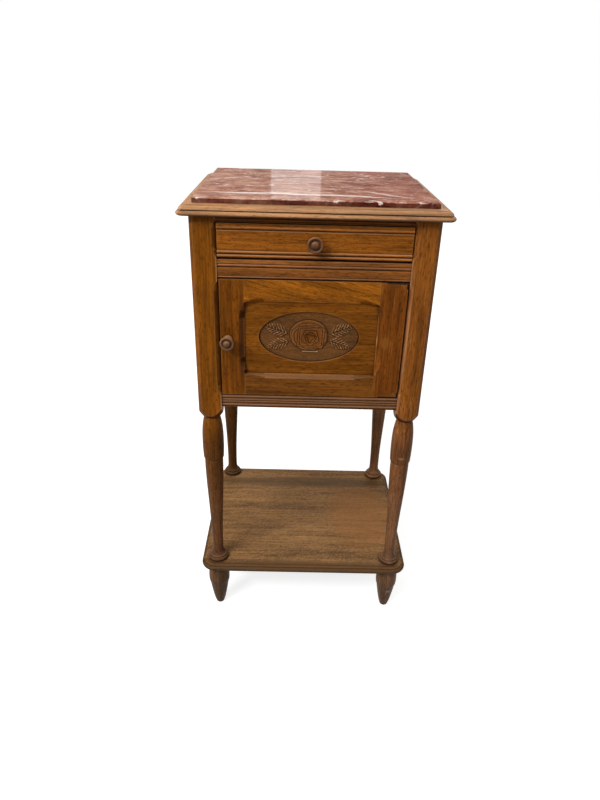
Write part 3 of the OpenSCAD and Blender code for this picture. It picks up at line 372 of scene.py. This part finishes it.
def veined_marble():
    """Red-brown marble with a worn polish: greyish brown and red clouds drawn out along the slab,
    fine grit, broken white veins, one long vein near the front, and sawn edges that are darker
    than the top, with pale chips along their upper arris."""
    made, tree = start_material("veined_marble")
    place = add(tree, "TexCoord").outputs["Object"]
    # waves about 60 mm long bend the clouds and veins by up to 30 mm
    drift = add(tree, "TexNoise", {"Scale": 16, "Detail": 5, "Roughness": 0.65}, {"Vector": place})
    shift = add(
        tree, "VectorMath", {"operation": "SCALE", "Scale": 30 * MM}, {0: drift.outputs["Color"]}
    )
    bent = add(tree, "VectorMath", {"operation": "ADD"}, {0: place, 1: shift})
    # clouds about 24 mm across, twice as long along the slab, and grit of about 4 mm
    drawn = add(tree, "Mapping", {"vector_type": "TEXTURE", "Scale": (2, 1, 1)}, {"Vector": bent})
    cloud = add(tree, "TexNoise", {"Scale": 42, "Detail": 7, "Roughness": 0.72}, {"Vector": drawn})
    grit = add(tree, "TexNoise", {"Scale": 230, "Detail": 3, "Roughness": 0.7}, {"Vector": place})
    stops = [(stop, linear(tone)) for stop, tone in MARBLE_TONES]
    colour = add(tree, "ValToRGB", {"stops": stops}, {"Fac": cloud})
    # the slab is redder to the right and dustier to the left
    across = add(tree, "SeparateXYZ", {}, {"Vector": bent}).outputs["X"]
    redder = add(
        tree, "MapRange", {"From Min": 20 * MM, "From Max": 130 * MM, "To Max": 0.8}, {"Value": across}
    )
    colour = add(tree, "Mix", {**DARKENED, OVER: linear(REDDER)}, {SHARE: redder, UNDER: colour})
    specks = add(tree, "MapRange", {"From Min": 0.6, "From Max": 0.7, "To Max": 0.55}, {"Value": grit})
    colour = add(tree, "Mix", {**LAID, OVER: linear(SPECK)}, {SHARE: specks, UNDER: colour})
    pits = add(tree, "MapRange", {"From Min": 0.4, "From Max": 0.3, "To Max": 0.6}, {"Value": grit})
    colour = add(tree, "Mix", {**LAID, OVER: linear(PIT)}, {SHARE: pits, UNDER: colour})
    # broken veins: thin where a slow noise crosses its middle value
    for scale, turn, wide, share, tone in BROKEN_VEINS:
        lie = add(
            tree,
            "Mapping",
            {
                "vector_type": "TEXTURE",
                "Location": (0.3, scale * 0.1, 0),
                "Rotation": (0, 0, turn),
                "Scale": (2.6, 1, 1),
            },
            {"Vector": bent},
        )
        crack = add(tree, "TexNoise", {"Scale": scale, "Detail": 4}, {"Vector": lie})
        off = add(tree, "Math", {"operation": "SUBTRACT", 1: 0.5}, {0: crack})
        off = add(tree, "Math", {"operation": "ABSOLUTE"}, {0: off})
        vein = add(tree, "MapRange", {"From Min": wide, "From Max": 0, "To Max": share}, {"Value": off})
        colour = add(tree, "Mix", {**LAID, OVER: linear(tone)}, {SHARE: vein, UNDER: colour})
    # the sawn edges
    normal = add(tree, "NewGeometry").outputs["Normal"]
    upward = add(tree, "SeparateXYZ", {}, {"Vector": normal}).outputs["Z"]
    side = add(tree, "MapRange", {"From Min": 0.75, "From Max": 0.3}, {"Value": upward})
    colour = add(tree, "Mix", {**DARKENED, OVER: linear(SAWN_EDGE)}, {SHARE: side, UNDER: colour})
    # the long veins are bent as the clouds are, and the chips stay at the arris
    colour = spots(tree, bent, grit, 0.35, (0.6, 0.85), LONG_VEINS, colour)
    colour = spots(tree, place, grit, 1.0, (0.75, 0.95), CHIPS, colour)
    bump = add(tree, "Bump", {"Strength": 0.12, "Distance": 0.2 * MM}, {"Height": cloud})
    shader = add(
        tree,
        "BsdfPrincipled",
        {"Roughness": 0.5, "Specular IOR Level": 0, "Coat Weight": 0.16, "Coat Roughness": 0.06},
        {"Base Color": colour, "Normal": bump},
    )
    add(tree, "OutputMaterial", {}, {"Surface": shader})
    return made


# ---- metals --------------------------------------------------------------------------


def tarnished_brass():
    """Old brass of the latch: brown tarnish in blooms of about 6 mm, with brighter and smoother
    metal between them."""
    made, tree = start_material("tarnished_brass")
    place = add(tree, "TexCoord").outputs["Object"]
    tarnish = add(tree, "TexNoise", {"Scale": 160, "Detail": 4}, {"Vector": place})
    stops = ((0.35, linear("5a4526")), (0.65, linear("a8864a")))
    colour = add(tree, "ValToRGB", {"stops": stops}, {"Fac": tarnish})
    gloss = add(tree, "MapRange", {"To Min": 0.5, "To Max": 0.3}, {"Value": tarnish})
    shader = add(tree, "BsdfPrincipled", {"Metallic": 1}, {"Base Color": colour, "Roughness": gloss})
    add(tree, "OutputMaterial", {}, {"Surface": shader})
    return made


def dark_iron():
    """Old iron of the pivot plates: nearly black, with file marks drawn 0.5 mm wide, brown rust
    blooms of about 5 mm and a dull shine between them."""
    made, tree = start_material("dark_iron")
    place = add(tree, "TexCoord").outputs["Object"]
    filed = add(
        tree,
        "Mapping",
        {"vector_type": "TEXTURE", "Scale": (20 * MM, 0.5 * MM, 0.5 * MM)},
        {"Vector": place},
    )
    lines = add(tree, "TexNoise", {"Scale": 1, "Detail": 2}, {"Vector": filed})
    stops = ((0.3, linear("2a1a0e")), (0.7, linear("48301f")))
    colour = add(tree, "ValToRGB", {"stops": stops}, {"Fac": lines})
    rust = add(tree, "TexNoise", {"Scale": 190, "Detail": 4}, {"Vector": place})
    bloom = add(tree, "MapRange", {"From Min": 0.52, "From Max": 0.66}, {"Value": rust})
    colour = add(tree, "Mix", {**LAID, OVER: linear("24140b")}, {SHARE: bloom, UNDER: colour})
    gloss = add(tree, "MapRange", {"To Min": 0.5, "To Max": 0.75}, {"Value": rust})
    shader = add(
        tree, "BsdfPrincipled", {"Specular IOR Level": 0.05}, {"Base Color": colour, "Roughness": gloss}
    )
    add(tree, "OutputMaterial", {}, {"Surface": shader})
    return made


# ---- which piece has which finish --------------------------------------------------------

# tones of the oak: posts and rails of the left side, those of the right side, a little paler,
# panels, feet, the frame under the marble, and the back and inside, which were never stained
POST_LEFT = "7a450b"
POST_RIGHT = "824b19"
PANEL = "72410c"
GREYED = "5e422b"
PALE = "9a6e48"
UNSTAINED = "8b6539"

# dark wax and painted shade also gather where such a piece meets its neighbours
MEETS = {"alone": False}
# arrises rubbed hard: wear, and a painted highlight on the chamfers of the front posts
FRONT_POST = {"dust": 0.05, "rub": 0.9, "rubbed": "b98a5e", **MEETS}
TOP_FRAME = {
    "rub": 0.75,
    "rubbed": "cfa78a",
    "dust": 0.12,
    "dust_and_highlight_tone": "cfa27c",
    "wax_and_shade": 1.0,
    "contrast": 1.3,
}
KNOB = {
    "rub": 0.6,
    "rubbed": "9b7350",
    "dust": 0.5,
    "dust_and_highlight_tone": "9b7350",
    "wax_and_shade": 0.7,
    "sheen": 0.1,
    "rough": 0.35,
}
OAK_PIECES = {
    # piece: tone, way of the grain, number of its board, what else sets its finish apart
    "top_rail_front": (PALE, "X", 1, TOP_FRAME),
    "top_rail_left": (PALE, "Y", 2, TOP_FRAME),
    "top_rail_right": (PALE, "Y", 3, TOP_FRAME),
    "top_rail_back": (PALE, "X", 4, TOP_FRAME),
    "post_front_left": (
        POST_LEFT,
        "Z",
        5,
        {
            **FRONT_POST,
            "dull": ((400, 475, "4f2d0b", 0.9), (250, 370, "674228", 0.8), (128, 170, "4c3122", 0.9)),
        },
    ),
    "post_front_right": (
        POST_RIGHT,
        "Z",
        6,
        {
            **FRONT_POST,
            "dull": ((400, 490, "6f4528", 0.9), (250, 370, "735036", 0.8), (128, 165, "5a4030", 0.9)),
            "marks": (
                # a pale mark low on the vase, and a painted highlight on the chamfer of the inner corner,
                # which faces the light
                ((171, -162, 377), 0, (8, 14, 4), "a98a68", 0.45),
                ((155, -163, 610), 0, (5, 9, 170), "b27a52", 0.75),
            ),
        },
    ),
    "post_back_left": (
        POST_LEFT,
        "Z",
        7,
        {"dust": 0.1, "dull": ((430, 475, "452a12", 0.85), (128, 150, "38281a", 0.8))},
    ),
    # paler under the case: painted light on the leg, where the case shades it
    "post_back_right": (POST_RIGHT, "Z", 8, {"dust": 0.2, "dull": ((430, 475, "8b6344", 0.9),)}),
    "foot_front_left": (GREYED, "Z", 9, {}),
    "foot_front_right": (
        "705038",
        "Z",
        10,
        {
            # a scuff under the step
            "marks": (((178, -160, 48), 0, (9, 12, 5), "a08a76", 0.7),),
        },
    ),
    "foot_back_left": (GREYED, "Z", 11, {}),
    "foot_back_right": (GREYED, "Z", 12, {}),
    "shelf": (
        "8a653f",
        "X",
        13,
        {
            "rays": 0.8,
            "dust": 0,
            "pores": 0.35,
            "contrast": 1.3,
            "rub": 0.1,
            "dull": ((117, 122, "4b3620", 1.0),),
            "marks": (
                # a redder right half, darker wood along the front, and a painted shadow along the back,
                # where the case shades the shelf
                ((125, 0, 122), 0, (100, 160, 20), "9c6738", 0.5),
                ((0, -172, 122), 0, (500, 26, 12), "5e432b", 0.85),
                ((0, 122, 122), 0, (330, 30, 20), "54402b", 0.65),
            ),
            **MEETS,
        },
    ),
    "upper_front_rail": ("7a4210", "X", 14, {"wax_and_shade": 0.6, **MEETS}),
    "middle_front_rail": ("834e20", "X", 15, {"dust_and_highlight_tone": "a87c64", "dust": 0.55, **MEETS}),
    "bottom_front_rail": ("69401f", "X", 16, {"dust_and_highlight_tone": "9f7c64", "dust": 0.55, **MEETS}),
    "back_top_rail": (UNSTAINED, "X", 17, {}),
    "back_middle_rail": (UNSTAINED, "X", 18, {}),
    "back_bottom_rail": (UNSTAINED, "X", 19, {}),
    "back_panel": (UNSTAINED, "X", 20, {}),
    "side_top_rail_left": (POST_LEFT, "Y", 21, {}),
    "side_top_rail_right": (POST_RIGHT, "Y", 22, {}),
    "side_bottom_rail_left": (POST_LEFT, "Y", 23, {}),
    "side_bottom_rail_right": (POST_RIGHT, "Y", 24, {}),
    "side_panel_left": (PANEL, "Z", 25, {}),
    "side_panel_right": (PANEL, "Z", 26, {}),
    "cupboard_floor": (UNSTAINED, "X", 27, {}),
    "dust_board": (UNSTAINED, "X", 28, {}),
    "drawer_runner_left": (UNSTAINED, "Y", 29, {}),
    "drawer_runner_right": (UNSTAINED, "Y", 30, {}),
    "drawer_kicker_left": (UNSTAINED, "Y", 31, {}),
    "drawer_kicker_right": (UNSTAINED, "Y", 32, {}),
    "drawer_stops": (UNSTAINED, "X", 33, {}),
    "door_stop_strip": (UNSTAINED, "Z", 34, {}),
    "drawer_front": (
        "884e15",
        "X",
        47,
        {"rays": 0.3, "contrast": 1.3, "dust_and_highlight_tone": "c08c62", "dust": 0.6, **MEETS},
    ),
    "drawer_side_left": (UNSTAINED, "Y", 36, {}),
    "drawer_side_right": (UNSTAINED, "Y", 37, {}),
    "drawer_back": (UNSTAINED, "X", 38, {}),
    "drawer_bottom": (UNSTAINED, "X", 39, {}),
    "door_knob_stile": (
        "6e3c09",
        "Z",
        40,
        {
            "wax_and_shade": 0.45,
            "below": 0.1,
            # painted shade along the panel, on the chamfer that faces away from the light
            "marks": (((-115, -158, 606), 0, (9, 12, 110), "3f2009", 0.75),),
            **MEETS,
        },
    ),
    "door_pivot_stile": (
        "703c0e",
        "Z",
        41,
        {
            "marks": (
                # a paler round patch, and a painted highlight on the edge beside the panel, which faces the
                # light
                ((123, -161, 604), 0, (12, 10, 17), "86501e", 0.75),
                ((107, -158, 606), 0, (5, 10, 13), "a9784c", 0.8),
            ),
            **MEETS,
        },
    ),
    "door_top_rail": (
        "8b5010",
        "X",
        42,
        {"wax_and_shade": 0.35, "below": 0.0, "tilt": 14, "rays": 0.35, "contrast": 1.3, **MEETS},
    ),
    "door_bottom_rail": ("6a3e12", "X", 43, {"dust_and_highlight_tone": "8f6a4c", "dust": 0.35, **MEETS}),
    "door_panel": (PANEL, "X", 44, MEETS),
    "drawer_knob": ("633d24", "Y", 45, KNOB),
    "door_knob": ("65432b", "Y", 46, KNOB),
}

FINISH = {
    "marble_slab": veined_marble(),
    "door_spindle": tarnished_brass(),
    "door_pivots": dark_iron(),
    # greyer and darker than the panel whose board it is cut from
    "door_carving": oak(
        "carved_oak", "57330f", "X", 44, rub=0.1, rubbed="b8885c", dust=0.05, rough=0.5, carved=True
    ),
}
FINISH["latch_tongue"] = FINISH["door_spindle"]
FINISH["case_pivots"] = FINISH["door_pivots"]
for node, (tone, along, board, more) in OAK_PIECES.items():
    FINISH[node] = oak("oak_" + node, tone, along, board, **more)


# ---- pieces with worn arrises --------------------------------------------------------------

BODY_OF = {node: body for body, nodes in frame["record"]["behaviour"]["bodies"].items() for node in nodes}
ROUND_OFF = 0.7
# an arris is rounded where it is this long and sharp, between faces this wide, in mm
ARRIS_LENGTH = 6
ARRIS_ANGLE = math.radians(40)
FACE_WIDTH = 3 * ROUND_OFF
# points this near are one, faces this flat are one, and edges this blunt are shaded smooth
SAME_POINT = 0.01 * MM
SAME_PLANE = math.radians(0.4)
SMOOTH_ANGLE = math.radians(32)


def take_up(piece):
    """Makes piece the one selected and active object."""
    for other in bpy.context.selected_objects:
        other.select_set(False)
    piece.select_set(True)
    bpy.context.view_layer.objects.active = piece


def roomy(edge):
    """1 for a long sharp arris between two faces that are both wide enough to round, or 0."""
    if len(edge.link_faces) != 2 or not edge.is_convex or edge.calc_face_angle() < ARRIS_ANGLE:
        return 0
    length = edge.calc_length()
    wide = all(face.calc_area() / length > FACE_WIDTH * MM for face in edge.link_faces)
    return float(length > ARRIS_LENGTH * MM and wide)


def soften(node):
    """A copy of the node with its facets joined and its long arrises rounded as if by wear."""
    piece = bpy.data.objects.new(node + "_worn", frame["nodes"][node].data.copy())
    bpy.context.scene.collection.objects.link(piece)
    take_up(piece)
    if piece.data.has_custom_normals:
        bpy.ops.mesh.customdata_custom_splitnormals_clear()
    bpy.ops.object.mode_set(mode="EDIT")
    bpy.ops.mesh.select_all(action="SELECT")
    bpy.ops.mesh.remove_doubles(threshold=SAME_POINT)
    bpy.ops.mesh.dissolve_limited(angle_limit=SAME_PLANE)
    mesh = bmesh.from_edit_mesh(piece.data)
    weight = mesh.edges.layers.float.new("bevel_weight_edge")
    for edge in mesh.edges:
        edge[weight] = roomy(edge)
    bmesh.update_edit_mesh(piece.data)
    bpy.ops.object.mode_set(mode="OBJECT")
    bevel = piece.modifiers.new("rounding", "BEVEL")
    bevel.limit_method = "WEIGHT"
    bevel.width = ROUND_OFF * MM
    bevel.segments = 2
    bevel.harden_normals = True
    bpy.ops.object.modifier_apply(modifier=bevel.name)
    bpy.ops.object.shade_smooth_by_angle(angle=SMOOTH_ANGLE)
    flat = piece.modifiers.new("flat_faces_stay_flat", "WEIGHTED_NORMAL")
    flat.keep_sharp = True
    bpy.ops.object.modifier_apply(modifier=flat.name)
    piece.data.materials.clear()
    piece.data.materials.append(FINISH[node])
    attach(piece, BODY_OF[node])
    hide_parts(node)


for node in frame["nodes"]:
    soften(node)


# ---- the carving in the door's oval --------------------------------------------------------
# Heights are in millimetres over the floor of the sunk oval, at x across and z up from its
# middle. Rose, leaves and ground are cut from the one board.

CARVED_ROWS = (340, 180)
RIM_HEIGHT = 0.4
UNDERSIDE = 0.05
# the carving stops just short of the oval's wall, slopes to its rim in this part of its reach,
# and has painted shade in the outer part of the slope
OVAL_FIT = 0.997
RIM_SLOPE = 0.05
RIM_SHADE = 0.4
CARVING_SMOOTH = math.radians(50)
FOLD_SHARPNESS = 14
PETALS = (
    # middle, reach, number of folds round it, turn, height inside, height of the rim
    ((-0.4, 3.6), (33, 28), 18, 0, 1.9, 2.5),
    ((0.8, 0.8), (29.8, 23), 8, 0, 1.5, 2.7),
    ((2.6, 0.6), (26.2, 20.5), 8, 4, 1.7, 2.8),
    ((3.4, 0.2), (21.5, 17.5), 4, -4, 1.7, 3.2),
    ((3.4, 0.4), (18.0, 15.0), 4, -1, 2.0, 3.1),
    ((2.4, -0.4), (12.5, 12.0), 5, 16, 1.9, 3.3),
    ((2.6, -0.6), (8.0, 7.6), 5, 48, 2.1, 3.4),
    ((2.2, -0.7), (4.2, 4.0), 3, 80, 2.0, 3.5),
)
LEAVES = (
    # root, tip and half width
    ((35, 6), (75, 22), 12),
    ((34, -5), (72, -19), 11),
    ((-35, 5), (-76, 20), 12),
    ((-33, -8), (-71, -20), 11),
)
VEIN_PITCH = 5.4
MIDRIB_WIDTH = 0.8
CUT_WIDTH = 1.3
LEDGE_MIDDLE, LEDGE_REACH, LEDGE_HEIGHT = (3, -26), (14, 1.5), 2.4


def fold(x, z, middle, reach, sides, turned):
    """1 along the rim of a folded ring, less inside it and more outside."""
    total = np.zeros_like(x)
    for side in range(sides):
        angle = math.radians(turned + 360 * side / sides)
        across = (x - middle[0]) / reach[0] * math.cos(angle)
        out = across + (z - middle[1]) / reach[1] * math.sin(angle)
        total += np.clip(out, 0, None) ** FOLD_SHARPNESS
    return total ** (1 / FOLD_SHARPNESS)


def leaf(x, z, root, tip, width):
    """Height over the ground, rubbed ridges and dark cuts, grime with painted shade, of a leaf
    with gouged side veins.
    """
    span = math.dist(root, tip)
    ahead = ((tip[0] - root[0]) / span, (tip[1] - root[1]) / span)
    along = (x - root[0]) * ahead[0] + (z - root[1]) * ahead[1]
    aside = (z - root[1]) * ahead[0] - (x - root[0]) * ahead[1]
    half = width * np.sin(math.pi * np.clip(along / span, 0, 1) ** 0.8) + 1e-6
    inner = np.clip(1 - (aside / half) ** 2, 0, 1) * (along > 0) * (along < span)
    # side veins slant forward from the midrib and waver as hand cuts do
    sway = 0.5 * np.sin(0.9 * along) + 0.4 * np.sin(1.7 * aside)
    beat = np.abs(2 * (((along - 0.95 * np.abs(aside) + sway) / VEIN_PITCH) % 1) - 1)
    ridge = (1 - beat) * np.clip(3 * inner, 0, 1)
    midrib = np.exp(-((aside / MIDRIB_WIDTH) ** 2)) * (inner > 0)
    raised = inner**0.5 * (0.4 + 1.6 * ridge) - 0.6 * midrib
    wear = 0.6 + 0.4 * np.sin(0.35 * along + root[0]) * np.sin(0.6 * aside + root[1])
    rubbed = np.clip(2.6 * ridge - 1.3, 0, 1) * (1 - midrib) * wear
    cut = np.clip(1 - 3 * ridge, 0, 1) * np.clip(4 * inner, 0, 1)
    return raised, rubbed, np.maximum(cut, 0.5 * midrib) * 0.7


def carve(x, z):
    """Height of the carving, where the rose is, rubbed ridges with a painted highlight on the
    ledge, and dark cuts of grime and painted shade.
    """
    # the ground is dimpled by the gouge, in lines that wander
    wander = 2.2 * np.sin(0.31 * z + 0.17 * x) + 1.5 * np.sin(0.53 * x - 0.4 * z)
    ground = 0.5 + 0.2 * np.sin(0.9 * x + wander) * np.sin(1.2 * z - 1.3 * wander)
    height = ground
    rubbed = np.zeros_like(x)
    # the lowest ground is painted darker, as shade
    cut = np.clip(0.9 - 1.6 * ground, 0, 1)
    for root, tip, width in LEAVES:
        raised, ridge, groove = leaf(x, z, root, tip, width)
        height = np.maximum(height, ground + raised)
        rubbed = np.maximum(rubbed, ridge)
        cut = np.maximum(cut, groove)
    for middle, reach, sides, turned, inside, rim in PETALS:
        ring = fold(x, z, middle, reach, sides, turned)
        within = ring < 1
        beyond = (ring - 1) * reach[0]
        height = np.where(within, inside + (rim - inside) * np.clip(ring, 0, 1) ** 4, height)
        rubbed = np.where(within, 0.35 * np.clip(ring, 0, 1) ** 10, rubbed)
        cut = np.where(within, 0, np.maximum(cut, np.exp(-((beyond / CUT_WIDTH) ** 2))))
    # the straight ledge cut under the rose, painted pale all over as a highlight on its top
    low = np.clip(LEDGE_REACH[1] - np.abs(z - LEDGE_MIDDLE[1]), 0, 1)
    ledge = low * np.clip(LEDGE_REACH[0] - np.abs(x - LEDGE_MIDDLE[0]), 0, 1)
    height = np.maximum(height, LEDGE_HEIGHT * ledge)
    rose = fold(x, z, *PETALS[0][:4]) < 1
    return height, rose * 1.0, np.maximum(rubbed, ledge), cut * (1 - ledge)


def fit_carving():
    """The carving as a piece of its own, a closed slab that lies in the oval of the panel."""
    board = np.array([vertex.co[:] for vertex in frame["nodes"]["door_panel"].data.vertices]) / MM
    # of the planes that the panel's points lie in, to a tenth of a millimetre, the second from
    # the front is the oval's floor
    floor_y = np.unique(board[:, 1].round(1))[1]
    floor = board[abs(board[:, 1] - floor_y) < 0.1]
    middle = (floor.max(0) + floor.min(0)) / 2
    half = (floor.max(0) - floor.min(0)) / 2 * OVAL_FIT
    bpy.ops.mesh.primitive_grid_add(x_subdivisions=CARVED_ROWS[0], y_subdivisions=CARVED_ROWS[1], size=2)
    piece = bpy.context.active_object
    piece.name = "door_carving"
    square = np.zeros(len(piece.data.vertices) * 3)
    piece.data.vertices.foreach_get("co", square)
    u, v = square.reshape(-1, 3)[:, 0], square.reshape(-1, 3)[:, 1]
    # the square grid is drawn in to an oval
    x = half[0] * u * np.sqrt(1 - v * v / 2)
    z = half[2] * v * np.sqrt(1 - u * u / 2)
    height, rose, rubbed, cut = carve(x, z)
    fade = np.clip((1 - np.hypot(x / half[0], z / half[2])) / RIM_SLOPE, 0, 1)
    height = RIM_HEIGHT + (height - RIM_HEIGHT) * fade
    placed = np.stack([middle[0] + x, floor_y - height, middle[2] + z], axis=1) * MM
    piece.data.vertices.foreach_set("co", placed.ravel())
    # grime and painted shade in the cuts, and painted shade along the outer part of the rim's slope
    dark = np.maximum(cut * fade, fade < RIM_SHADE)
    for name, values in (("rose", rose), ("rubbed", rubbed * fade), ("cut", dark)):
        layer = piece.data.attributes.new(name, "FLOAT", "POINT")
        layer.data.foreach_set("value", values)
    piece.data.update()
    take_up(piece)
    bpy.ops.object.mode_set(mode="EDIT")
    bpy.ops.mesh.select_mode(type="EDGE")
    bpy.ops.mesh.select_all(action="DESELECT")
    bpy.ops.mesh.select_non_manifold()
    down = {"value": (0, (RIM_HEIGHT - UNDERSIDE) * MM, 0)}
    bpy.ops.mesh.extrude_region_move(TRANSFORM_OT_translate=down)
    bpy.ops.mesh.edge_face_add()
    bpy.ops.mesh.select_all(action="SELECT")
    bpy.ops.mesh.normals_make_consistent(inside=False)
    bpy.ops.object.mode_set(mode="OBJECT")
    bpy.ops.object.shade_smooth_by_angle(angle=CARVING_SMOOTH)
    piece.data.materials.clear()
    piece.data.materials.append(FINISH["door_carving"])
    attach(piece, "door")


fit_carving()


# ---- light, floor and background --------------------------------------------------------

ROOM_STRENGTH = 0.26
FLOOR_SIZE = 9
FLOOR_TONE = "c9c7c4"
LAMPS = (
    # name, place, what it points at, width and height in metres, watts
    ("key", (-1.5, -1.66, 2.1), (0, -0.15, 0.6), (1.1, 0.35), 48),
    ("overhead", (-0.6, -1.2, 2.7), (0, 0, 0.5), (1.8, 1.4), 24),
    ("behind", (0.6, 1.7, 2.3), (0, 0, 0.6), (1.4, 1.0), 10),
    ("window", (-0.037, 1.5, 1.06), (-0.037, 0, 1.06), (0.2, 0.36), 0.6),
)


def seen_directly(tree):
    """1 for rays that look at the background itself, in a mirror or through glass."""
    path = add(tree, "LightPath")
    seen = path.outputs["Is Camera Ray"]
    for other in ("Is Glossy Ray", "Is Transmission Ray"):
        seen = add(tree, "Math", {"operation": "MAXIMUM"}, {0: seen, 1: path.outputs[other]})
    return seen


def light_the_room():
    """White where it is looked at, and a weak even light on the cupboard."""
    world = bpy.data.worlds.new("pale_room")
    bpy.context.scene.world = world
    world.use_nodes = True
    tree = world.node_tree
    tree.nodes.clear()
    soft = add(tree, "Background", {"Color": WHITE, "Strength": ROOM_STRENGTH})
    plain = add(tree, "Background", {"Color": WHITE, "Strength": 1})
    room = add(tree, "MixShader", {}, {0: seen_directly(tree), 1: soft, 2: plain})
    add(tree, "OutputWorld", {}, {"Surface": room})


def lay_floor():
    """Matt and pale, with a glow where it is looked at that turns it white and leaves the
    cupboard's shadow. The glow is weaker near the cupboard."""
    bpy.ops.mesh.primitive_plane_add(size=FLOOR_SIZE, location=(0, 0, 0))
    floor = bpy.context.active_object
    floor.name = "floor"
    made, tree = start_material("pale_floor")
    matt = add(tree, "BsdfDiffuse", {"Color": linear(FLOOR_TONE)})
    place = add(tree, "TexCoord").outputs["Object"]
    away = add(tree, "VectorMath", {"operation": "LENGTH"}, {0: place}).outputs["Value"]
    strength = add(
        tree,
        "MapRange",
        {"From Min": 0.35, "From Max": 2.0, "To Min": 0.8, "To Max": 0.97},
        {"Value": away},
    )
    glow = add(tree, "Emission", {"Color": WHITE}, {"Strength": strength})
    both = add(tree, "AddShader", {}, {0: matt, 1: glow})
    shader = add(tree, "MixShader", {}, {0: seen_directly(tree), 1: matt, 2: both})
    add(tree, "OutputMaterial", {}, {"Surface": shader})
    floor.data.materials.append(made)


def hang_lamp(name, place, aim, size, watts):
    """A soft lamp that the camera doesn't see."""
    data = bpy.data.lights.new(name, "AREA")
    data.shape = "RECTANGLE"
    data.size, data.size_y = size
    data.energy = watts
    lamp = bpy.data.objects.new(name, data)
    bpy.context.scene.collection.objects.link(lamp)
    lamp.location = place
    lamp.rotation_mode = "QUATERNION"
    lamp.rotation_quaternion = (Vector(aim) - Vector(place)).to_track_quat("-Z", "Y")
    lamp.visible_camera = False


light_the_room()
lay_floor()
for lamp in LAMPS:
    hang_lamp(*lamp)
bpy.context.scene.view_settings.view_transform = "Standard"
